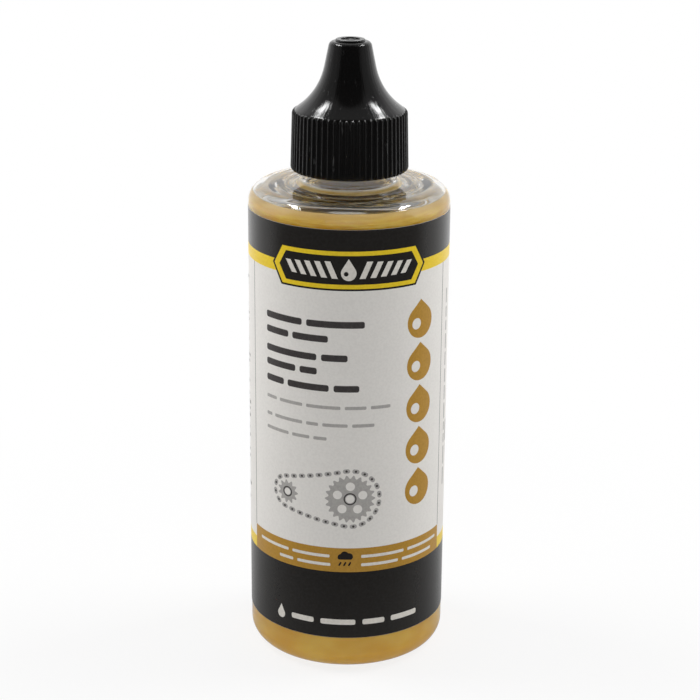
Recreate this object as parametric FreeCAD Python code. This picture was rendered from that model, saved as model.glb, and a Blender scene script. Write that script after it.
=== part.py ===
"""Chain lube bottle: a clear blown bottle with its oil, a wrap label, a dropper plug and a ribbed overcap.

Millimetres, +Z up. The origin is the centre of the ring that the bottle stands on, and every piece is turned
about Z. A profile is a list of (radius, height, fillet) corners.
"""
import FreeCAD
import Part

import math
import os

from FreeCAD import Vector

# Bottle body
BODY_DIAMETER = 41.4
SHOULDER_HEIGHT = 100.6
SHOULDER_RISE = 0.4
SHOULDER_FILLET = 3.3
HEEL_FILLET = 4.0
BODY_WALL = 0.85
BASE_RING_WIDTH = 3.4
PUSH_UP_HEIGHT = 2.6
PUSH_UP_SLOPE_WIDTH = 5.0
PUSH_UP_FILLET = 6.0
BASE_RING_FILLET = 1.2

# Neck finish, for a 20 mm closure
NECK_DIAMETER = 17.6
NECK_HEIGHT = 14.0
NECK_BORE = 14.2
NECK_ROOT_FILLET_INSIDE = 2.4
NECK_LIP_FILLET = 0.35
COLLAR_DIAMETER = 19.4
COLLAR_HEIGHT = 2.4
COLLAR_ROOT_FILLET = 1.2
COLLAR_EDGE_FILLET = 0.4

# Oil
OIL_LEVEL = 98.8
OIL_CLEARANCE = 0.05

# Label
LABEL_THICKNESS = 0.10
LABEL_GLUE = 0.02
LABEL_BOTTOM = 7.85
LABEL_HEIGHT = 88.5
LABEL_OVERLAP = 5.0

# Dropper plug
PLUG_FLANGE_DIAMETER = 17.0
PLUG_FLANGE_THICKNESS = 1.2
PLUG_DEPTH = 9.0
PLUG_WALL = 1.0
PLUG_CLEARANCE = 0.02
PLUG_BEAD = 0.18
PLUG_BEAD_HEIGHT = 1.0
PLUG_BEAD_DEPTHS = (2.4, 5.6)
PLUG_EDGE_FILLET = 0.25
NOZZLE_BASE_DIAMETER = 9.0
NOZZLE_TIP_DIAMETER = 3.2
NOZZLE_ROOT_FILLET = 0.9
NOZZLE_TIP_FILLET = 0.45
NOZZLE_WALL = 1.0
NOZZLE_LAND_LENGTH = 2.6
ORIFICE_DIAMETER = 1.3

# Overcap
CAP_HEIGHT = 26.6
CAP_ABOVE_COLLAR = 0.3
SKIRT_DIAMETER = 24.15
SKIRT_TOP_DIAMETER = 23.5
SKIRT_HEIGHT = 12.2
SKIRT_MOUTH_FILLET = 0.7
SKIRT_BORE = 20.2
RIM_FILLET = 1.0
FLARE_CORNER_DIAMETER = 12.5
FLARE_CORNER_HEIGHT = 16.2
FLARE_FILLET = 12.0
FLARE_FILLET_INSIDE = 8.0
LAND_DIAMETER = 14.6
LAND_EDGE_FILLET = 0.3
TOP_DIAMETER = 8.4
TOP_FILLET = 0.8
TOP_RING_DIAMETER = 6.0
TOP_RING_WIDTH = 0.7
TOP_RING_HEIGHT = 0.4
TOP_RING_FILLET = 0.15
GATE_DIAMETER = 1.6
GATE_HEIGHT = 0.2
CAP_WALL = 1.4
CAP_ROOF = 1.6
SEAL_PIN_DIAMETER = 0.85
SEAL_PIN_REACH = 1.2
NOZZLE_HEADROOM = 1.0
RIB_COUNT = 60
GROOVE_WIDTH = 0.74
GROOVE_DEPTH = 0.34
GROOVE_TOP_MARGIN = 0.6
GROOVE_END_SLOPE = 1.0

# Places that follow from the sizes above
BODY_RADIUS = BODY_DIAMETER / 2
NECK_ROOT_HEIGHT = SHOULDER_HEIGHT + SHOULDER_RISE
NECK_TOP = NECK_ROOT_HEIGHT + NECK_HEIGHT
COLLAR_TOP = NECK_ROOT_HEIGHT + COLLAR_HEIGHT
FLANGE_TOP = NECK_TOP + PLUG_FLANGE_THICKNESS
CAP_BOTTOM = COLLAR_TOP + CAP_ABOVE_COLLAR
CAP_TOP = CAP_BOTTOM + CAP_HEIGHT
CAP_DISC_HEIGHT = CAP_TOP - TOP_RING_HEIGHT
CAP_ROOF_HEIGHT = CAP_DISC_HEIGHT - CAP_ROOF
NOZZLE_TIP_HEIGHT = CAP_ROOF_HEIGHT - NOZZLE_HEADROOM

AXIS = Vector(0, 0, 1)
ORIGIN = Vector(0, 0, 0)
FULL_TURN = 360.0
JOIN_TOLERANCE = 1e-6


def corner_point(corner):
    """The corner's place in the XZ plane."""
    radius, height, _ = corner
    return Vector(radius, 0, height)


def rounded_wire(corners):
    """Closed wire through the corners, each one rounded by its own fillet."""
    edges = []
    bends = []
    for index, corner in enumerate(corners):
        here = corner_point(corner)
        fillet = corner[2]
        to_last = (corner_point(corners[index - 1]) - here).normalize()
        to_next = (corner_point(corners[(index + 1) % len(corners)]) - here).normalize()
        half_angle = to_last.getAngle(to_next) / 2
        reach = fillet / math.tan(half_angle)
        entry = here + to_last * reach
        leave = here + to_next * reach
        if fillet > 0:
            inward = (to_last + to_next).normalize()
            middle = here + inward * (fillet / math.sin(half_angle) - fillet)
            edges.append(Part.Arc(entry, middle, leave).toShape())
        bends.append((entry, leave))
    for index, (entry, _) in enumerate(bends):
        start = bends[index - 1][1]
        if start.distanceToPoint(entry) > JOIN_TOLERANCE:
            edges.append(Part.LineSegment(start, entry).toShape())
    return Part.Wire(Part.__sortEdges__(edges))


def turned(corners):
    """Solid of revolution of a closed profile about Z."""
    return Part.Face(rounded_wire(corners)).revolve(ORIGIN, AXIS, FULL_TURN)


def inset(corners, wall):
    """An open profile moved by wall to its left, with its fillets grown or shrunk to match."""
    moved = []
    last = len(corners) - 1
    for index, corner in enumerate(corners):
        here = corner_point(corner)
        before = here - corner_point(corners[index - 1]) if index > 0 else None
        after = corner_point(corners[index + 1]) - here if index < last else None
        normals = [Vector(-run.z, 0, run.x).normalize() for run in (before, after) if run]
        push = normals[0]
        fillet = corner[2]
        if len(normals) == 2:
            push = (normals[0] + normals[1]) / (1 + normals[0].dot(normals[1]))
            turns_left = before.x * after.z - before.z * after.x > 0
            fillet = fillet - wall if turns_left else fillet + wall
        place = here + push * wall
        moved.append((place.x, place.z, max(fillet, 0) if corner[2] else 0))
    return moved


def body_outline():
    """Outside of the bottle from the middle of its base to the foot of the collar."""
    ring_inside = BODY_RADIUS - HEEL_FILLET - BASE_RING_WIDTH
    return [
        (0, PUSH_UP_HEIGHT, 0),
        (ring_inside - PUSH_UP_SLOPE_WIDTH, PUSH_UP_HEIGHT, PUSH_UP_FILLET),
        (ring_inside, 0, BASE_RING_FILLET),
        (BODY_RADIUS, 0, HEEL_FILLET),
        (BODY_RADIUS, SHOULDER_HEIGHT, SHOULDER_FILLET),
        (COLLAR_DIAMETER / 2, NECK_ROOT_HEIGHT, COLLAR_ROOT_FILLET),
    ]


def cavity_outline(gap):
    """Inside of the body, a wall and a gap in from its outside, up to the foot of the bore."""
    walls = inset(body_outline(), BODY_WALL + gap)
    (wall_radius, wall_height, _), (root_radius, root_height, _) = walls[-2:]
    bore = NECK_BORE / 2 - gap
    slope = (root_height - wall_height) / (wall_radius - root_radius)
    bore_height = wall_height + slope * (wall_radius - bore)
    return walls[:-1] + [(bore, bore_height, NECK_ROOT_FILLET_INSIDE)]


def make_bottle():
    """Blown bottle: pushed-up base, straight wall, rounded shoulder, and a neck that stands on a collar."""
    neck = NECK_DIAMETER / 2
    neck_outline = [
        (COLLAR_DIAMETER / 2, COLLAR_TOP, COLLAR_EDGE_FILLET),
        (neck, COLLAR_TOP, 0),
        (neck, NECK_TOP, NECK_LIP_FILLET),
        (NECK_BORE / 2, NECK_TOP, NECK_LIP_FILLET),
    ]
    return turned(body_outline() + neck_outline + cavity_outline(0)[::-1])


def make_oil_fill():
    """Oil that fills the body up to its level, just clear of the wall."""
    cavity = cavity_outline(OIL_CLEARANCE)
    ceiling = (0, cavity[-1][1], 0)
    brim = turned(cavity[:-1] + [(*cavity[-1][:2], 0), ceiling])
    return brim.common(Part.makeCylinder(BODY_RADIUS, OIL_LEVEL))


def sleeve(inside, thickness, angle):
    """Part of a thin upright tube of the label's height, over an angle from +X."""
    foot = Vector(0, 0, LABEL_BOTTOM)
    outer = Part.makeCylinder(inside + thickness, LABEL_HEIGHT, foot, AXIS, angle)
    return outer.cut(Part.makeCylinder(inside, LABEL_HEIGHT, foot, AXIS, FULL_TURN))


def make_wrap_label():
    """Printed film round the body, whose end laps over its start at the back."""
    inside = BODY_RADIUS + LABEL_GLUE
    lap_angle = math.degrees(LABEL_OVERLAP / inside)
    lap = sleeve(inside + LABEL_THICKNESS, LABEL_THICKNESS, lap_angle)
    lap.rotate(ORIGIN, AXIS, 90 - lap_angle / 2)
    return sleeve(inside, LABEL_THICKNESS, FULL_TURN).fuse(lap).removeSplitter()


def plug_bead(radius, depth):
    """Corners of one sealing bead on the plug, from top to bottom."""
    top = NECK_TOP - depth
    crest = top - PLUG_BEAD_HEIGHT / 2
    return [
        (radius, top, 0),
        (radius + PLUG_BEAD, crest, PLUG_BEAD_HEIGHT / 4),
        (radius, top - PLUG_BEAD_HEIGHT, 0),
    ]


def make_dropper_plug():
    """Dropper plug: a beaded skirt in the neck, a flange on its lip and a drilled conical nozzle."""
    skirt = NECK_BORE / 2 - PLUG_CLEARANCE - PLUG_BEAD
    bottom = NECK_TOP - PLUG_DEPTH
    flange = PLUG_FLANGE_DIAMETER / 2
    base = NOZZLE_BASE_DIAMETER / 2
    tip = NOZZLE_TIP_DIAMETER / 2
    orifice = ORIFICE_DIAMETER / 2
    land_bottom = NOZZLE_TIP_HEIGHT - NOZZLE_LAND_LENGTH
    outside = [
        (orifice, NOZZLE_TIP_HEIGHT, 0),
        (tip, NOZZLE_TIP_HEIGHT, NOZZLE_TIP_FILLET),
        (base, FLANGE_TOP, NOZZLE_ROOT_FILLET),
        (flange, FLANGE_TOP, PLUG_EDGE_FILLET),
        (flange, NECK_TOP, PLUG_EDGE_FILLET),
        (skirt, NECK_TOP, 0),
    ]
    for depth in PLUG_BEAD_DEPTHS:
        outside += plug_bead(skirt, depth)
    inside = [
        (skirt, bottom, PLUG_EDGE_FILLET),
        (skirt - PLUG_WALL, bottom, PLUG_EDGE_FILLET),
        (skirt - PLUG_WALL, NECK_TOP, PLUG_WALL),
        (base - NOZZLE_WALL, FLANGE_TOP, NOZZLE_ROOT_FILLET),
        (orifice, land_bottom, 0),
    ]
    return turned(outside + inside)


def flare_outline():
    """Outside of the cap from the top of its skirt to the edge of its top."""
    return [
        (SKIRT_TOP_DIAMETER / 2, CAP_BOTTOM + SKIRT_HEIGHT, RIM_FILLET),
        (FLARE_CORNER_DIAMETER / 2, CAP_BOTTOM + FLARE_CORNER_HEIGHT, FLARE_FILLET),
        (TOP_DIAMETER / 2, CAP_DISC_HEIGHT, TOP_FILLET),
    ]


def cap_top_outline():
    """Raised ring and moulding gate on the top of the cap, from the ring's outside to the axis."""
    ring_outside = TOP_RING_DIAMETER / 2
    ring_inside = ring_outside - TOP_RING_WIDTH
    gate = GATE_DIAMETER / 2
    return [
        (ring_outside, CAP_DISC_HEIGHT, 0),
        (ring_outside, CAP_TOP, TOP_RING_FILLET),
        (ring_inside, CAP_TOP, TOP_RING_FILLET),
        (ring_inside, CAP_DISC_HEIGHT, 0),
        (gate, CAP_DISC_HEIGHT, 0),
        (gate, CAP_DISC_HEIGHT + GATE_HEIGHT, 0),
        (0, CAP_DISC_HEIGHT + GATE_HEIGHT, 0),
    ]


def cap_inside_outline():
    """Inside of the cap from the seal pin on the axis to the mouth of the skirt."""
    pin = SEAL_PIN_DIAMETER / 2
    pin_end = NOZZLE_TIP_HEIGHT - SEAL_PIN_REACH
    _, (corner_radius, corner_height, _), (top_radius, top_height, _) = inset(flare_outline(), CAP_WALL)
    roof_share = (CAP_ROOF_HEIGHT - corner_height) / (top_height - corner_height)
    roof_radius = corner_radius + (top_radius - corner_radius) * roof_share
    bore = SKIRT_BORE / 2
    return [
        (0, pin_end, 0),
        (pin, pin_end, 0),
        (pin, CAP_ROOF_HEIGHT, 0),
        (roof_radius, CAP_ROOF_HEIGHT, TOP_FILLET),
        (corner_radius, corner_height, FLARE_FILLET_INSIDE),
        (LAND_DIAMETER / 2, FLANGE_TOP, LAND_EDGE_FILLET),
        (bore, FLANGE_TOP, RIM_FILLET),
        (bore, CAP_BOTTOM, SKIRT_MOUTH_FILLET),
    ]


def skirt_radius(height):
    """Outside radius of the tapered skirt at a height."""
    share = (height - CAP_BOTTOM) / SKIRT_HEIGHT
    return (SKIRT_DIAMETER + (SKIRT_TOP_DIAMETER - SKIRT_DIAMETER) * share) / 2


def groove_section(height, slope):
    """V section of a groove on the +X side, twice as deep as the groove and tilted to run out by the slope."""
    low = height - slope * GROOVE_DEPTH
    high = height + slope * GROOVE_DEPTH
    root = Vector(skirt_radius(low) - GROOVE_DEPTH, 0, low)
    mouth = skirt_radius(high) + GROOVE_DEPTH
    sides = [Vector(mouth, side * GROOVE_WIDTH, high) for side in (-1, 1)]
    return Part.makePolygon([root, *sides, root])


def skirt_groove():
    """Cutter for one groove between two ribs, from below the skirt's mouth to a sloped end under its rim."""
    foot = groove_section(CAP_BOTTOM - GROOVE_DEPTH, 0)
    head = groove_section(CAP_BOTTOM + SKIRT_HEIGHT - GROOVE_TOP_MARGIN, GROOVE_END_SLOPE)
    return Part.makeLoft([foot, head], True, True)


def make_screw_cap():
    """Overcap: a ribbed skirt, a flared cone over the nozzle, and a pin that stops the orifice."""
    skirt_foot = [(SKIRT_DIAMETER / 2, CAP_BOTTOM, SKIRT_MOUTH_FILLET)]
    shell = turned(skirt_foot + flare_outline() + cap_top_outline() + cap_inside_outline())
    cutters = []
    for index in range(RIB_COUNT):
        cutter = skirt_groove()
        cutter.rotate(ORIGIN, AXIS, index * FULL_TURN / RIB_COUNT)
        cutters.append(cutter)
    return shell.cut(cutters)


PIECES = {
    "bottle": make_bottle,
    "oil_fill": make_oil_fill,
    "wrap_label": make_wrap_label,
    "dropper_plug": make_dropper_plug,
    "screw_cap": make_screw_cap,
}


def main():
    """Builds each piece and writes it to its own STEP file."""
    os.makedirs("parts", exist_ok=True)
    for name, make in PIECES.items():
        solid = make()
        print(name, "valid" if solid.isValid() else "NOT VALID", len(solid.Solids), round(solid.Volume, 1))
        solid.exportStep(f"parts/{name}.step")


main()
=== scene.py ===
"""Chain lube bottle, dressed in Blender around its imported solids.

A clear blown bottle of golden oil with a printed wrap label, a dropper plug and a black ribbed overcap.
Sizes are millimetres in the part's own frame: +Z is up and the front of the label faces -Y.
"""

import logging
import math
import random
from collections.abc import Callable, Sequence
from dataclasses import dataclass, field
from enum import Enum

import bmesh
import bpy
from mathutils import Matrix, Vector


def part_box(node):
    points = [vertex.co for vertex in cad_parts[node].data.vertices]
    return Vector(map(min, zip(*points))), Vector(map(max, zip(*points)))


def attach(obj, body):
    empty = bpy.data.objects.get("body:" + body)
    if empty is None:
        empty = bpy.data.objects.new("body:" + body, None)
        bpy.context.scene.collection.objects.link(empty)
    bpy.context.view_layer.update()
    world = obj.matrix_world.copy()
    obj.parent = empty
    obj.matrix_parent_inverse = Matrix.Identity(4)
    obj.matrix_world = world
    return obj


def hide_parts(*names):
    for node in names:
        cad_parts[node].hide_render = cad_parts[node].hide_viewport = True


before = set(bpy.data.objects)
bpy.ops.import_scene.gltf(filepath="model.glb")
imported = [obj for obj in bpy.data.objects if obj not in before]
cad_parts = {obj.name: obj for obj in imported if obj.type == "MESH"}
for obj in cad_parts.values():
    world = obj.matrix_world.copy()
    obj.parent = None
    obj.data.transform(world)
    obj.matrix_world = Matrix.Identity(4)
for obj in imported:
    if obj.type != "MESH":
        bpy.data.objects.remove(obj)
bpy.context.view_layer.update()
LOG = logging.getLogger("chain_lube_bottle")
MM = 0.001
FULL_TURN = 2 * math.pi
# What a place is multiplied by to lay it on the ground
LEVEL = (1.0, 1.0, 0.0)
# Tolerances in millimetres
SLACK = 0.001
NEAR = 0.01
ON_AXIS = 1e-6

Point = tuple[float, float]
Span = tuple[float, float]
Loop = list[Point]
Relief = Callable[[float, float, float], Point]


class Body(Enum):
    """The bodies that the pieces ride on."""

    BOTTLE = "bottle"
    CAP = "cap"


class Slot(Enum):
    """The record's material slots."""

    CLEAR_PLASTIC = "clear_plastic"
    LUBRICANT = "lubricant"
    LABEL_FILM = "label_film"
    NATURAL_PLASTIC = "natural_plastic"
    CAP_PLASTIC = "cap_plastic"


def linear(red: int, green: int, blue: int) -> tuple[float, float, float, float]:
    """Turns a screen colour into the linear one that shaders take.

    Args:
        red: Red from 0 to 255.
        green: Green from 0 to 255.
        blue: Blue from 0 to 255.

    Returns:
        The linear colour with an alpha of 1.
    """
    shares = [value / 255 for value in (red, green, blue)]
    lit = [share / 12.92 if share <= 0.04045 else ((share + 0.055) / 1.055) ** 2.4 for share in shares]
    return (*lit, 1.0)


class Link:
    """A node's output, with operators that turn an expression into nodes."""

    def __init__(self, graph: "Graph", socket: bpy.types.NodeSocket) -> None:
        """Keeps the graph and the socket."""
        self.graph = graph
        self.socket = socket

    def joined(self, operation: str, first: "Term", second: "Term") -> "Link":
        """Joins two terms by one node that suits their kind.

        Args:
            operation: ADD, SUBTRACT or MULTIPLY.
            first: The term on the left.
            second: The term on the right.

        Returns:
            The node's result.
        """
        kinds = {term.socket.type for term in (first, second) if isinstance(term, Link)}
        if "RGBA" in kinds:
            settings = {"data_type": "RGBA", "blend_type": operation}
            return self.graph.node("ShaderNodeMix", settings, {0: 1.0, 6: first, 7: second}, 2)
        kind = "ShaderNodeVectorMath" if "VECTOR" in kinds else "ShaderNodeMath"
        return self.graph.node(kind, {"operation": operation}, {0: first, 1: second})

    def __add__(self, other: "Term") -> "Link":
        """This plus another term."""
        return self.joined("ADD", self, other)

    def __radd__(self, other: "Term") -> "Link":
        """Another term plus this."""
        return self.joined("ADD", other, self)

    def __sub__(self, other: "Term") -> "Link":
        """This less another term."""
        return self.joined("SUBTRACT", self, other)

    def __rsub__(self, other: "Term") -> "Link":
        """Another term less this."""
        return self.joined("SUBTRACT", other, self)

    def __mul__(self, other: "Term") -> "Link":
        """This times another term."""
        return self.joined("MULTIPLY", self, other)

    def __rmul__(self, other: "Term") -> "Link":
        """Another term times this."""
        return self.joined("MULTIPLY", other, self)

    def between(self, low: float, high: float) -> "Link":
        """Rises smoothly from 0 to 1 as this goes from low to high."""
        sockets = {"Value": self, "From Min": low, "From Max": high}
        return self.graph.node("ShaderNodeMapRange", {"interpolation_type": "SMOOTHSTEP"}, sockets)

    def over(self, span: Span) -> "Link":
        """Rises smoothly from 0 to 1 over a span in millimetres."""
        return self.between(span[0] * MM, span[1] * MM)

    def part(self, axis: str) -> "Link":
        """One axis of a vector."""
        return self.graph.node("ShaderNodeSeparateXYZ", None, {0: self}, axis)

    def length(self) -> "Link":
        """The length of a vector."""
        return self.graph.node("ShaderNodeVectorMath", {"operation": "LENGTH"}, {0: self}, "Value")

    def direction(self) -> "Link":
        """A vector at a length of 1."""
        return self.graph.node("ShaderNodeVectorMath", {"operation": "NORMALIZE"}, {0: self})

    def blend(self, start: "Term", end: "Term") -> "Link":
        """Goes from one colour to another as this goes from 0 to 1."""
        return self.graph.node("ShaderNodeMix", {"data_type": "RGBA"}, {0: self, 6: start, 7: end}, 2)


Term = Link | float | tuple


class Graph:
    """The node tree of a material or of the world."""

    def __init__(self, owner: bpy.types.Material | bpy.types.World) -> None:
        """Empties the owner's node tree.

        Args:
            owner: The material or the world.
        """
        owner.use_nodes = True
        self.tree = owner.node_tree
        self.tree.nodes.clear()

    def node(self, kind: str, settings: dict | None = None, sockets: dict | None = None,
             output: int | str = 0) -> Link | None:
        """Adds a node.

        Args:
            kind: The node's type.
            settings: Its own settings, set first.
            sockets: Values or links by input name or number.
            output: The output to give back.

        Returns:
            The output, or None for a node that ends the tree.
        """
        made = self.tree.nodes.new(kind)
        for name, value in (settings or {}).items():
            setattr(made, name, value)
        for key, value in (sockets or {}).items():
            target = made.inputs[key]
            if isinstance(value, Link):
                self.tree.links.new(value.socket, target)
            elif isinstance(value, (int, float)) and target.type in ("VECTOR", "RGBA"):
                target.default_value = [value] * 3 + [1.0] * (target.type == "RGBA")
            else:
                target.default_value = value
        return Link(self, made.outputs[output]) if len(made.outputs) else None

    def place(self) -> Link:
        """The point on the piece, in metres in the part's frame."""
        return self.node("ShaderNodeTexCoord", output="Object")

    def grain(self, size: float, detail: float = 2.0, stretch: tuple = (1.0, 1.0, 1.0)) -> Link:
        """Soft noise over the piece, in spots of a size in millimetres that shrink by the stretch."""
        return self.noise(self.place() * stretch, 1 / (size * MM), detail)

    def noise(self, where: Link, scale: float, detail: float) -> Link:
        """Soft noise from 0 to 1 at a point of any space."""
        return self.node("ShaderNodeTexNoise", None, {"Vector": where, "Scale": scale, "Detail": detail})

    def bump(self, height: Link, depth: float) -> Link:
        """A normal that follows a height, where 1 stands for the depth in millimetres."""
        return self.node("ShaderNodeBump", None, {"Height": height, "Strength": 1.0, "Distance": depth * MM})

    def mix(self, share: Link, start: Link, end: Link) -> Link:
        """Goes from one shader to another as the share goes from 0 to 1."""
        return self.node("ShaderNodeMixShader", None, {0: share, 1: start, 2: end})

    def ray(self, kind: str) -> Link:
        """Is 1 for a ray of this kind, and 0 for any other."""
        return self.node("ShaderNodeLightPath", output=f"Is {kind} Ray")

    def surface(self, shader: Link, volume: Link | None = None) -> None:
        """Ends the tree of a material.

        Args:
            shader: What the surface looks like.
            volume: What fills the inside, if anything does.
        """
        ends = {"Surface": shader}
        if volume:
            ends["Volume"] = volume
        self.node("ShaderNodeOutputMaterial", None, ends)


@dataclass(frozen=True)
class Finish:
    """A finish that the pieces share by its name."""

    name: str

    def lay(self, graph: Graph) -> None:
        """Fills the material's node tree."""
        raise NotImplementedError

    def material(self) -> bpy.types.Material:
        """The finish as a material, made at its first use.

        Returns:
            The material.
        """
        found = bpy.data.materials.get(self.name)
        if found is None:
            found = bpy.data.materials.new(self.name)
            self.lay(Graph(found))
        return found


@dataclass(frozen=True)
class ClearPlastic(Finish):
    """Clear blown plastic with the soft waves of its wall and a few faint smudges."""

    name: str = "finish_clear_plastic"
    ior: float = 1.55
    tint: tuple = (0.985, 0.988, 0.98, 1.0)
    smudged: tuple = (0.96, 0.962, 0.95, 1.0)
    roughness: float = 0.012
    smudge_roughness: float = 0.03
    smudge_size: float = 4.0
    smudge_range: Span = (0.55, 0.8)
    wave_size: float = 6.0
    wave_stretch: tuple = (1.0, 1.0, 0.6)
    wave_depth: float = 0.03
    swirls: float = 900.0
    swirl_turn: float = 1.4
    swirl_share: float = 1.6
    swirl_fade: Span = (14.5, 17.5)

    def lay(self, graph: Graph) -> None:
        """Fills the material's node tree.

        Args:
            graph: The node tree.
        """
        flat = graph.place() * LEVEL
        away = flat.length()
        rings = graph.node("ShaderNodeCombineXYZ", None, {"Z": self.swirls * away})
        swirls = graph.noise(self.swirl_turn * flat.direction() + rings, scale=1.0, detail=2.0)
        near = 1 - away.over(self.swirl_fade)
        waves = graph.grain(self.wave_size, detail=1.0, stretch=self.wave_stretch)
        smudges = graph.grain(self.smudge_size, detail=4.0).between(*self.smudge_range)
        graph.surface(graph.node("ShaderNodeBsdfPrincipled", None, {
            "Base Color": smudges.blend(self.tint, self.smudged),
            "Roughness": self.roughness + self.smudge_roughness * smudges,
            "IOR": self.ior,
            "Transmission Weight": 1.0,
            "Normal": graph.bump(waves + self.swirl_share * near * swirls, self.wave_depth),
        }))


@dataclass(frozen=True)
class GoldenOil(Finish):
    """Golden oil that deepens with its thickness, with the glow of the light that it scatters."""

    clarity: float
    ior: float = 1.47
    tint: tuple = (0.93, 0.74, 0.16, 1.0)
    density: float = 25.0

    def body(self, graph: Graph, tone: "Term", clarity: float, ior: float) -> Link:
        """The look of its surface.

        Args:
            graph: The node tree.
            tone: The colour of its glow.
            clarity: How much light goes straight through, from 0 to 1.
            ior: How strongly it bends and mirrors light.

        Returns:
            The shader.
        """
        return graph.node("ShaderNodeBsdfPrincipled", None, {
            "Base Color": tone,
            "Roughness": 0.0,
            "IOR": ior,
            "Transmission Weight": clarity,
        })

    def depth(self, graph: Graph) -> Link:
        """The shader of its inside."""
        return graph.node("ShaderNodeVolumeAbsorption", None, {"Color": self.tint, "Density": self.density})


@dataclass(frozen=True)
class OilAtWall(GoldenOil):
    """Oil against the wall: clouded gold that pales towards its upper edge."""

    name: str = "finish_oil_at_wall"
    clarity: float = 0.12
    light: tuple = (1.0, 0.69, 0.075, 1.0)
    deep: tuple = (0.87, 0.47, 0.005, 1.0)
    pale: tuple = (0.92, 0.66, 0.28, 1.0)
    pale_span: Span = (96.9, 99.3)
    cloud_size: float = 9.0
    cloud_stretch: tuple = (1.0, 1.0, 1.6)
    cloud_share: float = 1.5
    streak_size: float = 4.0
    streak_stretch: tuple = (1.0, 1.0, 9.0)
    streak_share: float = 2.2
    streak_span: Span = (60.0, 93.0)
    heel_share: float = 0.35
    heel_span: Span = (1.0, 6.0)

    def lay(self, graph: Graph) -> None:
        """Fills the material's node tree.

        Args:
            graph: The node tree.
        """
        clouds = graph.grain(self.cloud_size, detail=2.0, stretch=self.cloud_stretch) - 0.5
        streaks = graph.grain(self.streak_size, detail=3.0, stretch=self.streak_stretch) - 0.5
        height = graph.place().part("Z")
        upper = height.over(self.streak_span)
        heel = 1 - height.over(self.heel_span)
        depth = 0.5 + self.cloud_share * clouds + self.streak_share * upper * streaks + self.heel_share * heel
        gold = depth.between(0.0, 1.0).blend(self.light, self.deep)
        tone = height.over(self.pale_span).blend(gold, self.pale)
        graph.surface(self.body(graph, tone, self.clarity, self.ior), self.depth(graph))


@dataclass(frozen=True)
class OilSurface(GoldenOil):
    """Open surface of the oil: clear and darker under the neck, where the darker tone is painted shade of the
    cap, and clouded towards the wall.
    """

    name: str = "finish_oil_surface"
    clarity: float = 0.92
    edge_clarity: float = 0.45
    ior: float = 1.12
    edge_ior: float = 1.3
    # Darker than the edge: painted shade under the cap.
    middle: tuple = (0.66, 0.46, 0.16, 1.0)
    edge: tuple = (1.0, 0.68, 0.17, 1.0)
    edge_deep: tuple = (0.96, 0.6, 0.1, 1.0)
    edge_span: Span = (11.0, 16.5)
    cloud_size: float = 7.0
    cloud_range: Span = (0.3, 0.7)

    def lay(self, graph: Graph) -> None:
        """Fills the material's node tree.

        Args:
            graph: The node tree.
        """
        outside = (graph.place() * LEVEL).length().over(self.edge_span)
        clouds = graph.grain(self.cloud_size, detail=3.0).between(*self.cloud_range)
        # The clear middle carries the painted shade under the cap.
        clear = self.body(graph, self.middle, self.clarity, self.ior)
        clouded = self.body(graph, clouds.blend(self.edge, self.edge_deep), self.edge_clarity, self.edge_ior)
        graph.surface(graph.mix(outside, clear, clouded), self.depth(graph))


@dataclass(frozen=True)
class PrintedFilm(Finish):
    """Film or ink of the label: one colour with a fine mottle, soft sheen and faint ripples."""

    colour: tuple
    mottled: tuple
    roughness: float = 0.3
    ior: float = 1.4
    mottle_size: float = 0.5
    mottle_range: Span = (0.3, 0.75)
    mottle_roughness: float = 0.08
    ripple_size: float = 6.0
    ripple_stretch: tuple = (1.0, 1.0, 0.5)
    ripple_depth: float = 0.02

    def lay(self, graph: Graph) -> None:
        """Fills the material's node tree.

        Args:
            graph: The node tree.
        """
        mottle = graph.grain(self.mottle_size, detail=3.0)
        ripples = graph.grain(self.ripple_size, detail=2.0, stretch=self.ripple_stretch)
        graph.surface(graph.node("ShaderNodeBsdfPrincipled", None, {
            "Base Color": mottle.between(*self.mottle_range).blend(self.colour, self.mottled),
            "Roughness": self.roughness + self.mottle_roughness * mottle,
            "IOR": self.ior,
            "Normal": graph.bump(ripples, self.ripple_depth),
        }))


@dataclass(frozen=True)
class NaturalPlastic(Finish):
    """Undyed satin plastic that lets a little light into it."""

    name: str = "finish_natural_plastic"
    colour: tuple = (0.80, 0.80, 0.76, 1.0)
    shaded: tuple = (0.70, 0.705, 0.67, 1.0)
    ior: float = 1.51
    roughness: float = 0.34
    flow_roughness: float = 0.16
    flow_size: float = 2.5
    flow_stretch: tuple = (1.0, 1.0, 0.35)
    skin_size: float = 0.12
    skin_depth: float = 0.006
    soak: float = 0.35
    soak_depth: float = 1.2
    soak_reach: tuple = (1.0, 0.95, 0.8)

    def lay(self, graph: Graph) -> None:
        """Fills the material's node tree.

        Args:
            graph: The node tree.
        """
        flow = graph.grain(self.flow_size, detail=3.0, stretch=self.flow_stretch)
        skin = graph.grain(self.skin_size, detail=2.0)
        graph.surface(graph.node("ShaderNodeBsdfPrincipled", None, {
            "Base Color": flow.blend(self.shaded, self.colour),
            "Roughness": self.roughness + self.flow_roughness * flow,
            "IOR": self.ior,
            "Subsurface Weight": self.soak,
            "Subsurface Radius": self.soak_reach,
            "Subsurface Scale": self.soak_depth * MM,
            "Normal": graph.bump(skin, self.skin_depth),
        }))


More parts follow.
